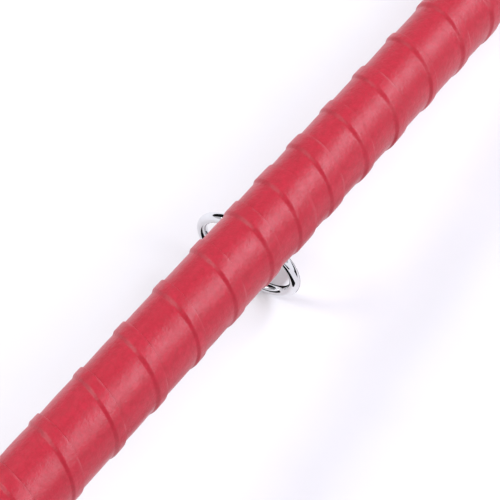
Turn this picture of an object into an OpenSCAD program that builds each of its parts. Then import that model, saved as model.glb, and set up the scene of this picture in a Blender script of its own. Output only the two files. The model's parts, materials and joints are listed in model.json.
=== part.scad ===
// Wrapped baton (devil stick) with a ring hanging from a screw eye under its middle.
// The baton lies along X and its axis is the X axis. The eye is screwed in at x = 0.
// The near end is at -X and the far end at +X. Lengths are in millimetres.

/* [Baton] */
// Overall length over the rubber end caps
baton_len = 620; // [560:5:680]
// Outside diameter of the core tube
tube_d = 16; // [15:0.5:18]
// Wall thickness of the core tube
tube_wall = 1.5; // [1:0.1:2]
// Thickness of the foam underlay around the tube
underlay_t = 1.4; // [1:0.1:2]
// Mean thickness of the wound strip, overlaps included
wrap_t = 0.8; // [0.6:0.1:1.2]
// Length of the wooden block inside the tube's middle
block_len = 50; // [40:1:70]

/* [Ring and eye] */
// Inside diameter of the hanging ring
ring_inner_d = 28; // [26:0.5:34]
// Wire diameter of the hanging ring
ring_wire_d = 3; // [2.5:0.1:3]
// Wire diameter of the screw eye
eye_wire_d = 2.5; // [2.2:0.1:2.8]
// Inside diameter of the screw eye
eye_inner_d = 6.7; // [6.5:0.1:8]
// Angle of the screw eye round the baton, from straight down towards +Y
eye_round = 31; // [0:1:40]
// Turn of the screw eye about its own shank
eye_turn = 6.2; // [0:0.1:10]
// Place where the ring sits on the eye's arc, from the arc's outermost point
eye_seat = 4.5; // [0:0.5:10]

/* [Ends] */
// Length of each ferrule
ferrule_len = 19; // [16:0.5:26]
// Wall thickness of each ferrule
ferrule_wall = 0.8; // [0.6:0.1:1.2]
// Length of each rubber end cap
cap_len = 22.5; // [20:0.5:30]
// Diameter of the flat face on each end cap
cap_face_d = 13; // [11:0.5:15]

/* [Hidden] */
$fn = 96;
past = 1;                                   // how far a cutter runs past a face

// Radii of the layers, from the tube outwards
tube_r = tube_d / 2;
bore_r = tube_r - tube_wall;
underlay_r = tube_r + underlay_t;
wrap_r = underlay_r + wrap_t;
binding_t = 0.3;
binding_r = wrap_r + binding_t;
ferrule_r = binding_r + ferrule_wall;

// Stations along the baton, counted from its middle
end_x = baton_len / 2;
cap_x = end_x - cap_len;                    // where the cap meets the ferrule
ferrule_lip_t = 1.5;
wrap_end_x = cap_x - ferrule_lip_t;         // where the wrap and the underlay stop
ferrule_x = cap_x - ferrule_len;
cap_wall_t = 8;                             // rubber in front of the plug's head
plug_head_t = 2;
plug_head_x = end_x - cap_wall_t;           // outer face of the plug's head
tube_end_x = plug_head_x - plug_head_t;
plug_len = 26;
plug_pin_x = tube_end_x - 18;
plug_pin_r = 1.25;
plug_pin_len = tube_d - 0.4;                // its flat ends stay under the tube's round surface
binding_len = 12;

// End screw, its washer and their recess
cap_r = ferrule_r - 0.3;
cap_round_r = cap_r - cap_face_d / 2;
recess_depth = 3.5;
recess_r = 4.4;
washer_t = 0.8;
washer_r = 4.2;
screw_r = 1.5;
screw_head_r = 3;
screw_head_t = 2.2;
screw_len = 15;
slot_w = 0.9;
slot_depth = 1;

// Screw eye: the distances are from the baton's axis, outwards along the shank
saddle_t = 0.8;
saddle_r = 4.8;
neck_t = 0.6;
eye_r = (eye_inner_d + eye_wire_d) / 2;     // to the middle of the eye's wire
eye_out = wrap_r + saddle_t + neck_t + eye_inner_d / 2 + eye_wire_d;
shank_r = 1.7;
shank_tip_out = 1.5;
thread_pitch = 1.3;
thread_depth = 0.35;
thread_turns = 3;

// Hanging ring: it hangs plumb from the outer arc of the eye, with a little play
ring_play = 0.1;
ring_r = (ring_inner_d + ring_wire_d) / 2;  // to the middle of the ring's wire
ring_drop = ring_inner_d / 2 - eye_wire_d / 2 - ring_play;
swing_axis = eye_to_baton([cos(eye_seat), 0, sin(eye_seat)]);
swing_point = eye_to_baton([eye_r * sin(eye_seat), 0, -eye_out - eye_r * cos(eye_seat)]);
plumb = [0, 0, -1] + swing_axis.z * swing_axis;
ring_centre = swing_point + ring_drop * plumb / norm(plumb);

// Turns a vector from the eye's own frame, where the shank points up, to the baton's frame
function turn_z(v, a) = [v.x * cos(a) - v.y * sin(a), v.x * sin(a) + v.y * cos(a), v.z];
function turn_x(v, a) = [v.x, v.y * cos(a) - v.z * sin(a), v.y * sin(a) + v.z * cos(a)];
function eye_to_baton(v) = turn_x(turn_z(v, eye_turn), eye_round);

// A solid of revolution about X: points are [x, radius]
module turned(points) {
    rotate([0, 90, 0]) rotate_extrude() polygon([for (p = points) [p[1], p[0]]]);
}

module rod_x(x0, x1, r) {
    translate([x0, 0, 0]) rotate([0, 90, 0]) cylinder(h = x1 - x0, r = r);
}

module pipe_x(x0, x1, r_in, r_out) {
    difference() {
        rod_x(x0, x1, r_out);
        rod_x(x0 - past, x1 + past, r_in);
    }
}

module near_end() {
    mirror([1, 0, 0]) children();
}

// Places what is drawn with the eye's shank pointing up at the eye's place on the baton
module at_eye() {
    rotate([eye_round, 0, 0]) rotate([0, 0, eye_turn]) children();
}

module shank_hole(r) {
    at_eye() translate([0, 0, -wrap_r - past]) cylinder(h = wrap_r + past, r = r);
}

module core_tube() {
    color("silver") difference() {
        pipe_x(-tube_end_x, tube_end_x, bore_r, tube_r);
        shank_hole(shank_r);
        for (side = [-1, 1]) pin_hole(side * plug_pin_x);
    }
}

module pin_hole(x) {
    translate([x, 0, -tube_r - past]) cylinder(h = tube_d + 2 * past, r = plug_pin_r);
}

module centre_block() {
    color("burlywood") difference() {
        rod_x(-block_len / 2, block_len / 2, bore_r);
        at_eye() translate([0, 0, -bore_r - past])
            cylinder(h = bore_r + past - shank_tip_out, r = shank_r);
    }
}

module underlay_sleeve() {
    color("dimgray") difference() {
        pipe_x(-wrap_end_x, wrap_end_x, tube_r, underlay_r);
        shank_hole(shank_r);
    }
}

module wrap_strip() {
    color("firebrick") difference() {
        pipe_x(-wrap_end_x, wrap_end_x, underlay_r, wrap_r);
        shank_hole(shank_r);
    }
}

// The shank has ridges on its outer stretch, where it grips the block
module screw_eye() {
    thread_top = -shank_tip_out - thread_turns * thread_pitch;
    color("gainsboro") at_eye() {
        translate([0, 0, -eye_out]) rotate([90, 0, 0])
            rotate_extrude() translate([eye_r, 0]) circle(d = eye_wire_d, $fn = 48);
        translate([0, 0, -eye_out + eye_r])
            cylinder(h = eye_out - eye_r + thread_top, r = shank_r);
        rotate_extrude() polygon(concat(
            [[0, thread_top], [0, -shank_tip_out]],
            [for (i = [0 : thread_turns - 1]) for (p = [[shank_r - thread_depth, 0], [shank_r, 0.5]])
                [p[0], -shank_tip_out - (i + p[1]) * thread_pitch]],
            [[shank_r - thread_depth, thread_top]]));
    }
}

// A washer that is curved to sit on the round wrap
module eye_washer() {
    color("gainsboro") difference() {
        intersection() {
            pipe_x(-saddle_r - past, saddle_r + past, wrap_r, wrap_r + saddle_t);
            at_eye() translate([0, 0, -wrap_r - saddle_t - past])
                cylinder(h = wrap_r, r = saddle_r);
        }
        at_eye() translate([0, 0, -wrap_r - saddle_t - past])
            cylinder(h = wrap_r, r = shank_r);
    }
}

module hanging_ring() {
    lean = acos(swing_axis.z);
    heading = atan2(swing_axis.y, swing_axis.x);
    color("gainsboro") translate(ring_centre) rotate([0, lean, heading])
        rotate_extrude($fn = 128) translate([ring_r, 0]) circle(d = ring_wire_d, $fn = 48);
}

module far_plug() {
    color("burlywood") difference() {
        union() {
            rod_x(tube_end_x - plug_len, tube_end_x, bore_r);
            rod_x(tube_end_x, plug_head_x, tube_r);
        }
        rod_x(screw_tip_x(), plug_head_x + past, screw_r);
        pin_hole(plug_pin_x);
    }
}

function screw_head_x() = end_x - recess_depth + washer_t;
function screw_tip_x() = screw_head_x() - screw_len;

module far_plug_pin() {
    color("gray") translate([plug_pin_x, 0, 0])
        cylinder(h = plug_pin_len, r = plug_pin_r, center = true);
}

// Tape that holds the strip's end down under the ferrule
module far_binding() {
    color("white") pipe_x(wrap_end_x - binding_len, wrap_end_x, wrap_r, binding_r);
}

module far_ferrule() {
    edge = 0.3;
    color("gainsboro") turned([
        [ferrule_x, binding_r], [ferrule_x, ferrule_r - edge], [ferrule_x + edge, ferrule_r],
        [cap_x - edge, ferrule_r], [cap_x, ferrule_r - edge], [cap_x, tube_r],
        [wrap_end_x, tube_r], [wrap_end_x, binding_r]]);
}

module far_cap() {
    color("black") difference() {
        rotate([0, 90, 0]) rotate_extrude() difference() {
            union() {
                translate([0, cap_x]) square([cap_r, cap_len - cap_round_r]);
                translate([0, cap_x]) square([cap_face_d / 2, cap_len]);
                translate([cap_face_d / 2, end_x - cap_round_r]) intersection() {
                    circle(r = cap_round_r, $fn = 64);
                    square(cap_round_r);
                }
            }
            translate([0, end_x - recess_depth]) square([recess_r, recess_depth + past]);
            translate([0, cap_x - past]) square([tube_r, plug_head_x - cap_x + past]);
        }
        rod_x(plug_head_x - past, end_x, screw_r);
    }
}

module far_cap_washer() {
    color("silver")
        pipe_x(end_x - recess_depth, end_x - recess_depth + washer_t, screw_r, washer_r);
}

module far_cap_screw() {
    head_x = screw_head_x();
    color("silver") difference() {
        union() {
            rod_x(screw_tip_x(), head_x, screw_r);
            rod_x(head_x, head_x + screw_head_t, screw_head_r);
        }
        translate([head_x + screw_head_t - slot_depth, -screw_head_r - past, -slot_w / 2])
            cube([slot_depth + past, 2 * (screw_head_r + past), slot_w]);
    }
}

module near_plug() { near_end() far_plug(); }
module near_plug_pin() { near_end() far_plug_pin(); }
module near_binding() { near_end() far_binding(); }
module near_ferrule() { near_end() far_ferrule(); }
module near_cap() { near_end() far_cap(); }
module near_cap_washer() { near_end() far_cap_washer(); }
module near_cap_screw() { near_end() far_cap_screw(); }

core_tube();
centre_block();
underlay_sleeve();
wrap_strip();
screw_eye();
eye_washer();
hanging_ring();
near_plug();
far_plug();
near_plug_pin();
far_plug_pin();
near_binding();
far_binding();
near_ferrule();
far_ferrule();
near_cap();
far_cap();
near_cap_washer();
far_cap_washer();
near_cap_screw();
far_cap_screw();
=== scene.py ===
"""Looks of the wrapped baton: the wound strip, the chrome ring and its eye, and the two ends.

The baton's axis is the X axis, its far end is at +X, and the ring hangs below its middle.
Lengths are in metres, and MM turns millimetres into metres.
"""

import json
import math
import random

import bpy
import numpy as np
from mathutils import Matrix, Vector


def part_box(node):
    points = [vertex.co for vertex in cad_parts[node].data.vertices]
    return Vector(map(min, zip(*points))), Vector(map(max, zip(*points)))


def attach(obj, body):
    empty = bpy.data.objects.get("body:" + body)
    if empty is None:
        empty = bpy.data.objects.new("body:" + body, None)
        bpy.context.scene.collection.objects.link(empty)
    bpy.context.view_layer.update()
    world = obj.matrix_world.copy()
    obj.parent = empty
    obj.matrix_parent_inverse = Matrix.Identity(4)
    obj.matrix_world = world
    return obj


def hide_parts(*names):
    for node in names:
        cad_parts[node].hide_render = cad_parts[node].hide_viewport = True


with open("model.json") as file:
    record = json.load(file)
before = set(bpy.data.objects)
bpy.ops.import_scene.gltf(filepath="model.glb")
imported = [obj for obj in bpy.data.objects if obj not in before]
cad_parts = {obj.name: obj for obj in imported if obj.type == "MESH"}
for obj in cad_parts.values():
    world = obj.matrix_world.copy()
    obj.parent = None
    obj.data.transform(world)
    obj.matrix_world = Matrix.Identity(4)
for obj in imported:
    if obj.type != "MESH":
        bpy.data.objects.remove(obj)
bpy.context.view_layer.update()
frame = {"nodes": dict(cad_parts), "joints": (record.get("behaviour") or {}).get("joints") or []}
random.seed(7)

MM = 0.001
TAU = 2 * math.pi

# The ring's joint, from the frame
ring_joint = frame["joints"][0]
SWING_POINT = Vector(ring_joint["pos_m"])
SWING_AXIS = Vector(ring_joint["axis"]).normalized()

# Sizes at the ends that more than one outline needs
TUBE_RADIUS = 8 * MM                 # outside of the core tube
CAP_SHOULDER = 4.5 * MM              # radius of the round between the cap's side and its face
HOLE_RADIUS = 1.5 * MM               # for the end screw


# ---------------------------------------------------------------- meshes

def new_object(name, verts, faces, smooth=True):
    """A mesh object in the scene, from its points and faces."""
    mesh = bpy.data.meshes.new(name)
    mesh.from_pydata([tuple(v) for v in verts], [], [tuple(f) for f in faces])
    mesh.validate()
    mesh.update()
    if smooth:
        mesh.polygons.foreach_set("use_smooth", [True] * len(mesh.polygons))
    piece = bpy.data.objects.new(name, mesh)
    bpy.context.scene.collection.objects.link(piece)
    return piece


def grid_faces(rows, columns, close_rows=True):
    """Quads between neighbouring points of a grid whose columns close into a loop."""
    faces = []
    for i in range(rows if close_rows else rows - 1):
        for j in range(columns):
            a, b = i * columns, (i + 1) % rows * columns
            k = (j + 1) % columns
            faces.append((a + j, b + j, b + k, a + k))
    return faces


def lathe(name, profile, segments):
    """A solid of revolution about X from a closed outline of (x, radius) points, in order."""
    verts = []
    for i in range(segments):
        angle = TAU * i / segments
        verts += [(x, r * math.sin(angle), r * math.cos(angle)) for x, r in profile]
    return new_object(name, verts, grid_faces(segments, len(profile)))


def closed_wire(name, path, radius_at, sides):
    """A round wire along a closed path of points, with its radius given at each point."""
    count = len(path)
    verts = []
    side = None
    for i, p in enumerate(path):
        along = (path[(i + 1) % count] - path[i - 1]).normalized()
        if side is None:
            side = along.orthogonal().normalized()
        side = (side - along * side.dot(along)).normalized()
        up = along.cross(side)
        for k in range(sides):
            angle = TAU * k / sides
            verts.append(p + radius_at(i) * (math.cos(angle) * side + math.sin(angle) * up))
    return new_object(name, verts, grid_faces(count, sides))


def copy_of(source, name, voxel, rounds):
    """An object's shape with its corners blended, as a casting or a pressing has them."""
    piece = bpy.data.objects.new(name, source.data.copy())
    bpy.context.scene.collection.objects.link(piece)
    remesh = piece.modifiers.new("remesh", "REMESH")
    remesh.mode = "VOXEL"
    remesh.voxel_size = voxel
    remesh.use_smooth_shade = True
    soften = piece.modifiers.new("soften", "SMOOTH")
    soften.factor = 0.5
    soften.iterations = rounds
    apply_modifiers(piece)
    piece.data.materials.clear()
    return piece


def apply_modifiers(piece):
    """Replaces the piece's mesh with what its modifiers make of it."""
    evaluated = piece.evaluated_get(bpy.context.evaluated_depsgraph_get())
    mesh = bpy.data.meshes.new_from_object(evaluated)
    piece.modifiers.clear()
    piece.data = mesh


def cut_away(piece, cutter):
    """Takes the cutter's shape out of the piece."""
    cut = piece.modifiers.new("cut", "BOOLEAN")
    cut.operation = "DIFFERENCE"
    cut.solver = "EXACT"
    cut.object = cutter
    apply_modifiers(piece)
    bpy.data.objects.remove(cutter)


def flat_card(name, centre, half_x, half_y):
    """A flat rectangle from its centre and the two vectors to the middles of its sides."""
    verts = [Vector(centre) + a * half_x + b * half_y
             for a, b in ((-1, -1), (1, -1), (1, 1), (-1, 1))]
    return new_object(name, verts, [(0, 1, 2, 3)], smooth=False)


def box_object(name, low, high):
    """A box between two opposite corners."""
    xs, ys, zs = zip(low, high)
    verts = [(x, y, z) for x in xs for y in ys for z in zs]
    faces = [(0, 1, 3, 2), (4, 6, 7, 5), (0, 4, 5, 1), (2, 3, 7, 6), (0, 2, 6, 4), (1, 5, 7, 3)]
    return new_object(name, verts, faces, smooth=False)


def point_attribute(piece, name, values):
    """Stores one number per point, for a material to read."""
    layer = piece.data.attributes.new(name, "FLOAT", "POINT")
    layer.data.foreach_set("value", np.asarray(values, np.float32))


# ---------------------------------------------------------------- materials

class Shader:
    """A material's node tree, with short calls for the nodes that the materials here share."""

    def __init__(self, name):
        self.material = bpy.data.materials.new(name)
        self.material.use_nodes = True
        self.tree = self.material.node_tree
        self.main = self.tree.nodes["Principled BSDF"]
        self.place = self.node("ShaderNodeTexCoord").outputs["Object"]

    def node(self, kind, inputs=None, **settings):
        made = self.tree.nodes.new(kind)
        for key, value in settings.items():
            setattr(made, key, value)
        for key, value in (inputs or {}).items():
            self.set(made.inputs[key], value)
        return made

    def set(self, socket, value):
        if isinstance(value, bpy.types.NodeSocket):
            self.tree.links.new(value, socket)
        else:
            socket.default_value = value

    def stretched(self, scale):
        """Object coordinates scaled along X, Y and Z, so that a pattern is drawn out one way."""
        return self.node("ShaderNodeMapping", {"Vector": self.place, "Scale": scale}).outputs[0]

    def noise(self, scale, detail=3.0, roughness=0.5, place=None):
        return self.node("ShaderNodeTexNoise", {
            "Vector": place or self.place, "Scale": scale,
            "Detail": detail, "Roughness": roughness}).outputs["Fac"]

    def cells(self, scale, feature="F1", place=None, out="Distance"):
        return self.node("ShaderNodeTexVoronoi", {
            "Vector": place or self.place, "Scale": scale}, feature=feature).outputs[out]

    def ramp(self, value, low, high, to_low=0.0, to_high=1.0):
        return self.node("ShaderNodeMapRange", {
            "Value": value, "From Min": low, "From Max": high,
            "To Min": to_low, "To Max": to_high}).outputs[0]

    def math(self, operation, a, b):
        return self.node("ShaderNodeMath", {0: a, 1: b}, operation=operation).outputs[0]

    def mix(self, factor, a, b):
        made = self.node("ShaderNodeMix", data_type="RGBA")
        self.set(made.inputs["Factor"], factor)
        self.set(made.inputs["A"], a)
        self.set(made.inputs["B"], b)
        return made.outputs["Result"]

    def attribute(self, name):
        return self.node("ShaderNodeAttribute", attribute_name=name).outputs["Fac"]

    def bump(self, height, distance, strength, below=None):
        made = self.node("ShaderNodeBump", {
            "Height": height, "Distance": distance, "Strength": strength})
        if below is not None:
            self.set(made.inputs["Normal"], below)
        return made.outputs["Normal"]

    def finish(self, color, roughness, normal=None, **fixed):
        self.set(self.main.inputs["Base Color"], color)
        self.set(self.main.inputs["Roughness"], roughness)
        if normal is not None:
            self.set(self.main.inputs["Normal"], normal)
        for key, value in fixed.items():
            label = key.replace("_", " ").title().replace("Ior", "IOR")
            self.main.inputs[label].default_value = value
        return self.material


def rgb(r, g, b):
    return (r, g, b, 1.0)


def leatherette():
    """Red coated cloth: fine pebble grain, slow colour drift, pale raw edge, worn ridges, and
    painted shade that darkens the slopes where each turn comes down off the one below.
    """
    s = Shader("leatherette")
    drift = s.noise(95, 4)
    colour = s.mix(s.ramp(drift, 0.3, 0.7), rgb(0.425, 0.004, 0.023), rgb(0.455, 0.006, 0.028))
    speckle = s.ramp(s.noise(700, 4, 0.8), 0.35, 0.65, 0.0, 0.7)
    colour = s.mix(speckle, colour, rgb(0.31, 0.002, 0.013))
    # Painted shade: the slopes down off each lap are darkened a little, where shade falls
    colour = s.mix(s.ramp(s.attribute("painted_slope_shade"), 0, 1, 0, 0.12), colour, rgb(0.27, 0.002, 0.012))
    worn = s.math("MULTIPLY", s.attribute("edge"), s.ramp(s.noise(170, 5), 0.48, 0.62, 0.05, 0.7))
    colour = s.mix(worn, colour, rgb(0.52, 0.13, 0.15))
    grain = s.ramp(s.cells(1900, "DISTANCE_TO_EDGE"), 0.0, 0.22)
    pores = s.ramp(s.noise(5200, 2), 0.35, 0.65)
    normal = s.bump(grain, 0.02 * MM, 0.35)
    normal = s.bump(pores, 0.01 * MM, 0.3, normal)
    normal = s.bump(s.noise(420, 3), 0.05 * MM, 0.35, normal)
    normal = s.bump(s.noise(800, 3, 0.7), 0.16 * MM, 0.8, normal)
    rough = s.ramp(s.noise(300, 3), 0.3, 0.7, 0.36, 0.46)
    return s.finish(colour, rough, normal, specular_ior_level=0.42, sheen_weight=0.14)


def chrome():
    """Polished plate with faint polishing marks and a little cloudiness."""
    s = Shader("chrome")
    colour = s.mix(s.ramp(s.noise(160, 3), 0.3, 0.7), rgb(0.70, 0.70, 0.715), rgb(0.78, 0.78, 0.79))
    marks = s.noise(900, 2, place=s.stretched((1.0, 0.12, 0.12)))
    cloud = s.ramp(s.noise(500, 3), 0.35, 0.7, 0.035, 0.07)
    rough = s.math("ADD", cloud, s.ramp(marks, 0.55, 0.8, 0, 0.04))
    normal = s.bump(s.noise(230, 2), 0.02 * MM, 0.4)
    return s.finish(colour, rough, normal, metallic=1.0)


def zinc():
    """Zinc plate: small crystals of slightly different greys."""
    s = Shader("zinc")
    patches = s.cells(700, out="Color")
    tone = s.ramp(s.node("ShaderNodeSeparateColor", {0: patches}).outputs[0], 0, 1)
    colour = s.mix(tone, rgb(0.52, 0.53, 0.56), rgb(0.66, 0.67, 0.68))
    rough = s.ramp(s.noise(1500, 3), 0.3, 0.7, 0.26, 0.44)
    return s.finish(colour, rough, s.bump(s.noise(2500, 3), 0.01 * MM, 0.4), metallic=1.0)


def drawn_aluminium():
    """Aluminium with fine lines along the tube."""
    s = Shader("drawn_aluminium")
    lines = s.noise(2400, 4, place=s.stretched((0.02, 1.0, 1.0)))
    colour = s.mix(s.ramp(lines, 0.3, 0.7), rgb(0.70, 0.71, 0.73), rgb(0.82, 0.83, 0.84))
    rough = s.ramp(lines, 0.3, 0.7, 0.28, 0.42)
    return s.finish(colour, rough, s.bump(lines, 0.01 * MM, 0.5), metallic=1.0)


def rubber():
    """Moulded black rubber with a dusty bloom."""
    s = Shader("rubber")
    bloom = s.ramp(s.noise(140, 5, 0.6), 0.35, 0.75)
    colour = s.mix(bloom, rgb(0.018, 0.018, 0.019), rgb(0.040, 0.039, 0.038))
    colour = s.mix(s.ramp(s.noise(3500, 2), 0.55, 0.7, 0, 0.4), colour, rgb(0.07, 0.07, 0.07))
    rough = s.ramp(s.noise(220, 4), 0.3, 0.7, 0.52, 0.72)
    normal = s.bump(s.noise(3800, 3), 0.02 * MM, 0.5)
    return s.finish(colour, rough, normal, specular_ior_level=0.45)


def beech():
    """Turned beech: grain along X, faint rings and short dark flecks."""
    s = Shader("beech")
    grain = s.noise(900, 5, 0.6, s.stretched((0.05, 1.0, 1.0)))
    rings = s.node("ShaderNodeTexWave", {
        "Vector": s.place, "Scale": 190.0, "Distortion": 3.0, "Detail": 3.0,
        "Detail Scale": 1.5}, bands_direction="Y").outputs["Fac"]
    colour = s.mix(s.ramp(grain, 0.3, 0.7), rgb(0.52, 0.33, 0.18), rgb(0.70, 0.50, 0.31))
    colour = s.mix(s.math("MULTIPLY", rings, 0.35), colour, rgb(0.44, 0.26, 0.13))
    flecks = s.ramp(s.cells(1200, place=s.stretched((0.25, 1.0, 1.0))), 0.0, 0.16, 0.5, 0.0)
    colour = s.mix(flecks, colour, rgb(0.30, 0.17, 0.08))
    return s.finish(colour, s.ramp(grain, 0.3, 0.7, 0.55, 0.7), s.bump(grain, 0.04 * MM, 0.5))


def foam_rubber():
    """Closed-cell foam with fine round pores."""
    s = Shader("foam_rubber")
    pores = s.cells(1500)
    colour = s.mix(s.ramp(pores, 0.1, 0.6), rgb(0.018, 0.018, 0.020), rgb(0.045, 0.045, 0.048))
    return s.finish(colour, 0.85, s.bump(pores, 0.08 * MM, 0.7))


def cloth_tape():
    """Woven cotton tape: crossed threads and a few slubs."""
    s = Shader("cloth_tape")
    threads = [s.node("ShaderNodeTexWave", {
        "Vector": s.place, "Scale": 520.0, "Distortion": 0.4, "Detail Scale": 4.0},
        bands_direction=way).outputs["Fac"] for way in ("X", "DIAGONAL")]
    weave = s.math("MULTIPLY", threads[0], threads[1])
    colour = s.mix(weave, rgb(0.55, 0.53, 0.48), rgb(0.80, 0.78, 0.72))
    colour = s.mix(s.ramp(s.noise(260, 4), 0.5, 0.8, 0, 0.5), colour, rgb(0.62, 0.58, 0.50))
    return s.finish(colour, 0.85, s.bump(weave, 0.08 * MM, 0.6), sheen_weight=0.2)


LOOKS = {
    "wrap": leatherette(),
    "bright_metal": chrome(),
    "tube": drawn_aluminium(),
    "underlay": foam_rubber(),
    "dowel": beech(),
    "steel": zinc(),
    "binding": cloth_tape(),
    "cap_rubber": rubber(),
}


def dress(piece, slot, body, *nodes):
    """Gives a piece its material and its body, and hides the CAD nodes that it stands for."""
    piece.data.materials.clear()
    piece.data.materials.append(LOOKS[slot])
    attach(piece, body)
    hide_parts(*nodes)


# ---------------------------------------------------------------- wound strip

STRIP_WIDTH = 18.6 * MM
STRIP_THICK = 0.5 * MM
LAID_RADIUS = 10.0 * MM              # outer face where the strip lies on the underlay
LAP_STEP = 1.6 * MM                  # length of the slope where it comes down off the turn below
TURN_START = math.radians(22.6)      # where the turns are counted, from the top towards -Y
USUAL_PITCH = 15.3 * MM
PITCH_SPREAD = 0.7 * MM
# Turns round the middle, wound by hand: the place of the farthest step, then the pitches nearwards
MIDDLE_STEP_X = 74.8 * MM
MIDDLE_PITCHES = (15.4, 17.0, 14.6, 15.3, 14.2, 12.5, 15.2, 15.3, 15.9, 15.7, 16.1)
WIDENING_X = 120 * MM                # slopes grow longer from -WIDENING_X to here
SEGMENTS_PER_TURN = 96

# Where the laps are pressed flatter: from here to the ends by the tape, and under the washer
TAPED_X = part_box("far_ferrule")[0].x
eye_low, eye_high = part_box("screw_eye")
EYE_ANGLE = math.atan2(-(eye_low.y + eye_high.y), eye_low.z + eye_high.z)
WASHER_RADIUS = 4.8 * MM
TAPE_FADE = 4 * MM
WASHER_FADE = 2.5 * MM
PRESSED_SHARE = 0.34                 # how much of the height is lost there


def turn_steps(reach):
    """Where each turn comes down off the one below, from beyond +reach to beyond -reach."""
    steps = [MIDDLE_STEP_X]
    for pitch in MIDDLE_PITCHES:
        steps.append(steps[-1] - pitch * MM)
    while steps[0] < reach + 2 * USUAL_PITCH:
        steps.insert(0, steps[0] + USUAL_PITCH + random.uniform(-PITCH_SPREAD, PITCH_SPREAD))
    while steps[-1] > -reach - 2 * USUAL_PITCH:
        steps.append(steps[-1] - USUAL_PITCH - random.uniform(-PITCH_SPREAD, PITCH_SPREAD))
    return np.array(steps)


def along_knots(knots, t):
    """A smooth curve through knots at t = 0, 1, 2 and so on."""
    t = np.clip(t, 0, len(knots) - 1.001)
    slopes = np.gradient(knots)
    k = t.astype(int)
    f = t - k
    return (knots[k] * (1 + 2 * f) * (1 - f) ** 2 + slopes[k] * f * (1 - f) ** 2
            + knots[k + 1] * f * f * (3 - 2 * f) + slopes[k + 1] * f * f * (f - 1))


def ripple(x, angle, waves, length, seed):
    """Slow unevenness over the baton's surface, about 1 high: a sum of seeded waves."""
    draw = random.Random(seed)
    total = np.zeros(np.broadcast(x, angle).shape)
    for _ in range(waves):
        along = TAU / (length * draw.uniform(0.7, 1.6))
        total += np.sin(along * x + draw.choice((1, 2, 3)) * angle + draw.uniform(0, TAU))
    return total / math.sqrt(waves)


def smooth_step(value):
    """0 up to 0, 1 from 1 on, and an eased rise between them."""
    value = np.clip(value, 0, 1)
    return value * value * (3 - 2 * value)


def pressed(radius, x, angle):
    """The strip's radius with its laps pressed down under the end tape and the eye's washer."""
    taped = smooth_step((np.abs(x) - TAPED_X) / TAPE_FADE)
    from_foot = np.hypot(x, LAID_RADIUS * np.sin(angle - EYE_ANGLE))
    from_foot[np.cos(angle - EYE_ANGLE) < 0] = np.inf    # the side away from the eye
    washer = 1 - smooth_step((from_foot - WASHER_RADIUS) / WASHER_FADE)
    base = LAID_RADIUS - STRIP_THICK
    return base + (radius - base) * (1 - PRESSED_SHARE * np.maximum(taped, washer))


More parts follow.
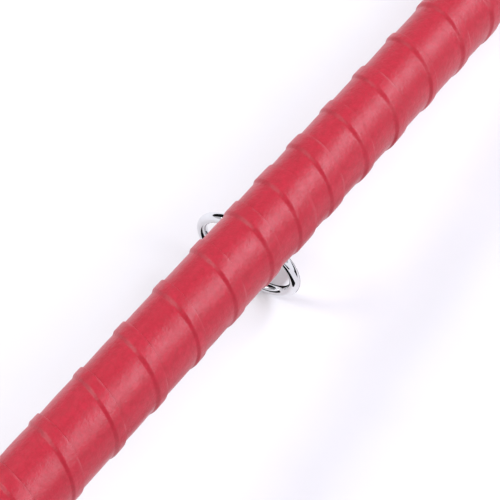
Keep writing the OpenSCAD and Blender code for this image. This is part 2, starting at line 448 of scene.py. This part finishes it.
def wound_strip():
    """The strip as one ribbon wound from the far end: each turn lies on the near edge of the last.

    A turn is raised where it lies on the turn before, slopes down off that turn's near edge and
    lies flat to its own near edge, which the next turn covers. Its far edge is a cut edge.
    """
    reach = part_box("wrap_strip")[1].x - 0.2 * MM
    near_edges = turn_steps(reach) + LAP_STEP / 2

    def near_edge(t):
        wander = 0.18 * MM * ripple(np.zeros_like(t), 0.61 * TAU * t, 4, 1.0, 3)
        return along_knots(near_edges, t) + wander

    t = np.arange(0, len(near_edges) - 1, 1 / SEGMENTS_PER_TURN)
    inside = (near_edge(t) + STRIP_WIDTH < reach) & (near_edge(t) > -reach)
    t = t[inside & (t > 1)]
    near = near_edge(t)[:, None]
    far = near + STRIP_WIDTH
    slope = LAP_STEP * (1 + 0.15 * ripple(near, TAU * t[:, None], 3, 40 * MM, 5))
    slope *= 1 + 0.2 * np.clip(near / WIDENING_X, -1, 1)
    foot = far - near_edge(t - 1)[:, None] + LAP_STEP
    shoulder = np.maximum(foot - slope, 0.2 * MM)

    # Stations across the ribbon, from its far edge: the raised lap, the slope and the flat
    raised = np.array([0, 0, 0.06, 0.2, 0.4, 0.6, 0.8])
    sloping = np.linspace(0, 1, 15)
    flat = np.array([0.06, 0.15, 0.3, 0.5, 0.7, 0.85, 1.0])
    across = np.hstack([
        shoulder * raised,
        shoulder + (foot - shoulder) * sloping,
        foot + (STRIP_WIDTH - foot) * flat])
    x = far - across
    angle = TURN_START + TAU * t[:, None] + np.zeros_like(x)
    height = 1 - smooth_step((across - shoulder) / (foot - shoulder))
    dents = 0.035 * MM * ripple(x, angle, 7, 14 * MM, 11)
    pull = 0.03 * MM * ripple(x * 0.2, 2 * angle, 5, 3 * MM, 13) * height
    inner = LAID_RADIUS - STRIP_THICK * (1 - height) + 0.01 * MM + dents
    outer = LAID_RADIUS + STRIP_THICK * height + dents + pull
    outer, inner = pressed(outer, x, angle), pressed(inner, x, angle)

    # The cut edge: its foot, a rounded corner, then the lap's top
    corner, corner_top, corner_back = 0.12 * MM, 0.03 * MM, 0.05 * MM
    outer[:, 0] = inner[:, 0]
    outer[:, 1] = outer[:, 2] - corner
    outer[:, 2] -= corner_top
    x[:, 2:3] = far - corner_back

    # Each cross-section: over the ribbon's outside, then back along its inside in fewer points
    back = list(range(x.shape[1] - 1, 2, -3))
    ring_x = np.hstack([x, x[:, back]])
    ring_r = np.hstack([outer, inner[:, back]])
    ring_angle = np.hstack([angle, angle[:, back]])
    verts = np.stack([ring_x, -ring_r * np.sin(ring_angle), ring_r * np.cos(ring_angle)], -1)
    rows, columns = ring_x.shape
    faces = grid_faces(rows, columns, close_rows=False)
    faces += [tuple(range(columns)), tuple(range((rows - 1) * columns, rows * columns))[::-1]]
    strip = new_object("wound_strip", verts.reshape(-1, 3), faces)
    strip.data.set_sharp_from_angle(angle=math.radians(40))

    edge = np.zeros_like(ring_x)
    edge[:, :2] = 1
    edge[:, 2] = 0.5
    # Painted shade: a mask over each slope, highest in its middle, which the material darkens
    painted_slope_shade = np.zeros_like(ring_x)
    slope_columns = slice(len(raised), len(raised) + len(sloping))
    painted_slope_shade[:, slope_columns] = np.sin(np.pi * np.linspace(0, 1, len(sloping))) ** 2
    point_attribute(strip, "edge", edge.ravel())
    point_attribute(strip, "painted_slope_shade", painted_slope_shade.ravel())
    return strip


dress(wound_strip(), "wrap", "baton", "wrap_strip")


# ---------------------------------------------------------------- ring and eye

def ring_size():
    """Centre, radius to the middle of the wire, and the wire's radius, from the frame."""
    low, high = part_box("hanging_ring")
    centre = (low + high) / 2
    half = (high - low) / 2
    spread_x = math.sqrt(1 - SWING_AXIS.x ** 2)
    spread_z = math.sqrt(1 - SWING_AXIS.z ** 2)
    radius = (half.z - half.x) / (spread_z - spread_x)
    return centre, radius, half.z - radius * spread_z


def chrome_ring():
    """A ring bent from round wire and welded: the weld is a soft, slightly thicker band."""
    centre, radius, wire = ring_size()
    away = (centre - SWING_POINT).normalized()
    side = SWING_AXIS.cross(away)
    count = 256
    weld_at, weld_half = 0.62, 0.012

    def wire_radius(i):
        from_weld = abs((i / count - weld_at + 0.5) % 1 - 0.5) / weld_half
        return wire * (0.985 + 0.015 * math.cos(min(from_weld, 2) * math.pi))

    path = [centre + radius * (math.cos(TAU * i / count) * away + math.sin(TAU * i / count) * side)
            for i in range(count)]
    return closed_wire("chrome_ring", path, wire_radius, 48)


dress(chrome_ring(), "bright_metal", "ring", "hanging_ring")
for node_name, piece_name, voxel, rounds in (
        ("screw_eye", "cast_eye", 0.14 * MM, 4), ("eye_washer", "saddle_washer", 0.1 * MM, 3)):
    fitting = copy_of(frame["nodes"][node_name], piece_name, voxel, rounds)
    dress(fitting, "bright_metal", "baton", node_name)


# ---------------------------------------------------------------- ends

def arc(centre_x, centre_r, radius, start, stop, steps=10):
    """Outline points on a circle, with angles in degrees from +X towards +radius."""
    angles = [math.radians(start + (stop - start) * i / steps) for i in range(steps + 1)]
    return [(centre_x + radius * math.cos(a), centre_r + radius * math.sin(a)) for a in angles]


def groove(x, r, width, depth):
    """Outline points of a shallow rounded groove, towards +X."""
    return [(x + width * (i / 8 - 0.5), r - depth * math.sin(math.pi * i / 8) ** 2)
            for i in range(9)]


def ferrule_outline():
    """Drawn ferrule with a rolled mouth, three turned lines and a soft edge at the cap."""
    low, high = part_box("far_ferrule")
    x0, x1, r = low.x, high.x, high.z
    mouth_r, lip_x, tube_r = r - 0.8 * MM, x1 - 1.5 * MM, TUBE_RADIUS + 0.02 * MM
    roll, edge = 0.4 * MM, 0.3 * MM
    outline = arc(x0 + roll, r - roll, roll, 225, 90)
    for place in (x0 + 2.4 * MM, x0 + 3.6 * MM, x1 - 2.4 * MM):
        outline += groove(place, r, 0.5 * MM, 0.12 * MM)
    outline += arc(x1 - edge, r - edge, edge, 90, 0)
    return outline + [(x1, tube_r), (lip_x, tube_r), (lip_x, mouth_r), (x0 + roll, mouth_r)]


def cap_outline():
    """Moulded cap with three grip grooves, a round shoulder and a recess for its screw."""
    low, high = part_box("far_cap")
    x0, x1, r = low.x, high.x, high.z
    recess_r, recess_x = 4.4 * MM, x1 - 3.5 * MM
    bore_x = x1 - 8 * MM
    edge, lip = 0.3 * MM, 0.35 * MM
    outline = [(x0, TUBE_RADIUS)] + arc(x0 + edge, r - edge, edge, 180, 90)
    for place in (3.5, 6.3, 9.1):
        outline += groove(x0 + place * MM, r, 1.1 * MM, 0.4 * MM)
    outline += [(x1 - CAP_SHOULDER - 2 * MM, r)]
    outline += arc(x1 - CAP_SHOULDER, r - CAP_SHOULDER, CAP_SHOULDER, 90, 0, 16)
    outline += arc(x1 - lip, recess_r + lip, lip, 0, -90, 6)
    outline += arc(recess_x + edge, recess_r - edge, edge, 90, 180, 6)
    return outline + [(recess_x, HOLE_RADIUS), (bore_x, HOLE_RADIUS), (bore_x, TUBE_RADIUS)]


def washer_outline():
    """A flat washer with a soft outer edge and a small chamfer in its hole."""
    low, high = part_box("far_cap_washer")
    x0, x1, r = low.x, high.x, high.z
    edge = 0.15 * MM
    outline = [(x0, HOLE_RADIUS), (x0, r - edge)] + arc(x1 - edge, r - edge, edge, 90, 0, 5)
    return outline + [(x1, HOLE_RADIUS + edge), (x1 - edge, HOLE_RADIUS)]


def screw_outline():
    """A pan head on a plain shank; the slot is cut later."""
    low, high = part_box("far_cap_screw")
    x0, x1, r = low.x, high.x, high.z
    half_head, shank_r, tip_r = 1.1 * MM, 1.45 * MM, 0.1 * MM
    head_x = x1 - 2 * half_head
    dome = [(head_x + half_head + half_head * math.sin(math.radians(a)),
             r * (0.04 + 0.96 * math.cos(math.radians(a)) ** 0.55)) for a in range(0, 90, 6)]
    shank = [(x0, tip_r), (x0 + 1.5 * MM, shank_r), (head_x, shank_r), (head_x, r)]
    return shank + dome + [(x1, tip_r)]


def moulded_line(cap, height):
    """The mould's parting line: a fine ridge along two sides of the cap's outer wall."""
    wall_inside, line_half = 8.5 * MM, 0.02 * MM
    mouth_x = min(v.co.x for v in cap.data.vertices)
    for v in cap.data.vertices:
        r = math.hypot(v.co.y, v.co.z)
        if r > wall_inside and abs(v.co.z) < line_half and v.co.x > mouth_x:
            v.co.y *= (r + height) / r


def near_copy(piece, name):
    """The same piece at the near end."""
    twin = piece.copy()
    twin.data = piece.data.copy()
    twin.name = name
    bpy.context.scene.collection.objects.link(twin)
    twin.data.transform(Matrix.Diagonal((-1, 1, 1, 1)))
    twin.data.flip_normals()
    return twin


def end_screw():
    """The screw with its driver slot, and the slot's edges blended."""
    screw = lathe("far_end_screw", screw_outline(), 64)
    _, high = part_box("far_cap_screw")
    slot_floor, half_slot, reach = high.x - 1 * MM, 0.45 * MM, 4 * MM
    slot = box_object(
        "slot", (slot_floor, -reach, -half_slot), (high.x + MM, reach, half_slot))
    cut_away(screw, slot)
    smooth = copy_of(screw, "far_end_screw", 0.09 * MM, 3)
    bpy.data.objects.remove(screw)
    return smooth


def both_ends(piece, slot, node):
    """Dresses the far piece and its near twin, which stand for far_ and near_ nodes."""
    twin = near_copy(piece, piece.name.replace("far", "near"))
    dress(piece, slot, "baton", "far_" + node)
    dress(twin, slot, "baton", "near_" + node)


both_ends(lathe("far_drawn_ferrule", ferrule_outline(), 160), "bright_metal", "ferrule")
moulded_cap = lathe("far_moulded_cap", cap_outline(), 192)
moulded_line(moulded_cap, 0.07 * MM)
both_ends(moulded_cap, "cap_rubber", "cap")
both_ends(lathe("far_end_washer", washer_outline(), 96), "steel", "cap_washer")
both_ends(end_screw(), "steel", "cap_screw")

# Nodes that stay as the CAD has them, with the material slot of each
INNER_NODES = {
    "core_tube": "tube", "underlay_sleeve": "underlay", "centre_block": "dowel",
    "near_plug": "dowel", "far_plug": "dowel", "near_plug_pin": "steel", "far_plug_pin": "steel",
    "near_binding": "binding", "far_binding": "binding",
}
for node_name, node_slot in INNER_NODES.items():
    node = frame["nodes"][node_name]
    node.data.materials.clear()
    node.data.materials.append(LOOKS[node_slot])


# ---------------------------------------------------------------- floor, light and camera

scene = bpy.context.scene
scene.view_settings.view_transform = "Standard"

# The baton lies on its ring and on the far cap's rim, so the floor rises towards the far end
ring_centre, ring_radius, ring_wire = ring_size()
_, cap_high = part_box("far_cap")


def floor_heights(lean):
    """Lowest points along the floor's normal, of the ring and of the far cap's shoulder.

    The third value is the floor's normal for that lean.
    """
    up = Vector((-math.sin(lean), 0, math.cos(lean)))
    ring = up.dot(ring_centre) - ring_radius * math.sqrt(1 - up.dot(SWING_AXIS) ** 2) - ring_wire
    cap = -up.z * (cap_high.z - CAP_SHOULDER) + up.x * (cap_high.x - CAP_SHOULDER) - CAP_SHOULDER
    return ring, cap, up


# Halving the range of leans until the ring and the cap both touch the floor
lean_low, lean_high = 0.0, math.radians(20)
for _ in range(40):
    lean = (lean_low + lean_high) / 2
    ring_height, cap_height, floor_up = floor_heights(lean)
    if cap_height > ring_height:
        lean_low = lean
    else:
        lean_high = lean

FLOOR_HALF = 4.0
FLOOR_GAP = 0.1 * MM                 # between the floor and what lies on it
floor_turn = floor_up.to_track_quat("Z", "Y").to_matrix().to_4x4()
floor = flat_card("floor", (0, 0, 0), Vector((FLOOR_HALF, 0, 0)), Vector((0, FLOOR_HALF, 0)))
floor.matrix_world = Matrix.Translation(floor_up * (ring_height - FLOOR_GAP)) @ floor_turn
paper = Shader("white_paper")
cloud = paper.ramp(paper.noise(40, 4), 0.3, 0.7)
floor.data.materials.append(paper.finish(
    paper.mix(cloud, rgb(0.745, 0.745, 0.76), rgb(0.765, 0.765, 0.78)),
    0.9, specular_ior_level=0.1))

world = bpy.data.worlds.new("studio")
world.use_nodes = True
background = world.node_tree.nodes["Background"]
background.inputs["Color"].default_value = rgb(1.0, 0.97, 1.03)
background.inputs["Strength"].default_value = 0.62
scene.world = world

LIGHT_DISTANCE = 1.5
ALONG_BATON = (1, 0, 0)


def soft_light(name, direction, long_way, length, width, power, colour=(1, 1, 1)):
    """A rectangular light that faces the baton's middle, its long side along long_way."""
    data = bpy.data.lights.new(name, "AREA")
    data.shape = "RECTANGLE"
    data.size, data.size_y = length, width
    data.energy = power
    data.color = colour
    light = bpy.data.objects.new(name, data)
    scene.collection.objects.link(light)
    back = Vector(direction).normalized()
    x_axis = (Vector(long_way) - back * back.dot(Vector(long_way))).normalized()
    y_axis = back.cross(x_axis)
    light.matrix_world = Matrix.Translation(back * LIGHT_DISTANCE) @ Matrix(
        (x_axis, y_axis, back)).transposed().to_4x4()
    light.visible_camera = False


soft_light("key", (0.46, -0.43, 0.79), (0.58, 0.82, 0), 1.3, 0.54, 18.0, (0.95, 1.0, 1.1))
soft_light("right", (0.12, -0.80, 0.58), ALONG_BATON, 0.5, 0.3, 3.2)
soft_light("left", (-0.25, 0.72, 0.62), ALONG_BATON, 1.5, 1.2, 8.4)
soft_light("left_small", (-0.45, 0.52, 0.72), ALONG_BATON, 0.4, 0.4, 4.6)


def black_flag(name, centre, normal, up, width, height):
    """A black card that shows only in reflections, to give the bright metal its dark streaks."""
    z_axis = Vector(normal).normalized()
    x_axis = Vector(up).cross(z_axis).normalized()
    y_axis = z_axis.cross(x_axis)
    card = flat_card(name, centre, width / 2 * x_axis, height / 2 * y_axis)
    black = Shader(name)
    card.data.materials.append(black.finish(
        black.mix(black.noise(3), rgb(0.004, 0.004, 0.004), rgb(0.008, 0.008, 0.008)),
        0.9, specular_ior_level=0.0))
    card.visible_camera = card.visible_diffuse = card.visible_shadow = False
    return card


# A large card standing a little over a metre beyond the baton, on the left side
black_flag("far_flag", (0.21, 1.08, 0.36), (-0.19, -0.98, 0), (0, 0, 1), 1.15, 0.76)


def floor_flag(name, low_x, low_y, high_x, high_y, above=0.0):
    """A black card just over the floor, between two corners in millimetres."""
    x, y = (low_x + high_x) / 2 * MM, (low_y + high_y) / 2 * MM
    z = (ring_height - x * floor_up.x) / floor_up.z + above
    return black_flag(name, (x, y, z), floor_up, (0, 1, 0),
                      (high_x - low_x) * MM, (high_y - low_y) * MM)


# Painted shade in reflections: black cards where the floor lies in the baton's shade, so the chrome
# reflects that shade as black streaks
floor_flag("near_floor_flag", -30, -14, -4, 28)
floor_flag("far_floor_flag", 7, -5, 60, 20)
floor_flag("right_floor_flag", 12, -52, 60, -24)
floor_flag("left_floor_flag", -62, -60, -32, -26)

# One card does the opposite: it only shades the floor that shows through the ring
shade = floor_flag("ring_shade", 6.5, 3.4, 14.2, 9.8, 0.5 * MM)
shade.visible_shadow, shade.visible_glossy = True, False

# Camera: a long lens close above the baton, looking far and down, with the baton rising to
# the upper right. It aims a little off the baton's axis, nearwards of the middle.
ELEVATION = math.radians(55.3)
CAMERA_DISTANCE = 474 * MM
AIM_X, AIM_RIGHT, AIM_UP = -15.4 * MM, 1.71 * MM, 0.46 * MM
forward_x, forward_y = 0.8, 0.6      # the way it looks, seen from above
cam_right = Vector((forward_y, -forward_x, 0))
cam_up = Vector((forward_x * math.sin(ELEVATION), forward_y * math.sin(ELEVATION),
                 math.cos(ELEVATION)))
cam_back = cam_right.cross(cam_up)
aim = Vector((AIM_X, 0, 0)) + AIM_RIGHT * cam_right + AIM_UP * cam_up
camera_data = bpy.data.cameras.new("camera")
camera_data.lens = 132.05
camera_data.sensor_width = 36
camera_data.clip_start = 0.01
camera = bpy.data.objects.new("camera", camera_data)
scene.collection.objects.link(camera)
camera.matrix_world = Matrix.Translation(aim + CAMERA_DISTANCE * cam_back) @ Matrix(
    (cam_right, cam_up, cam_back)).transposed().to_4x4()
scene.camera = camera
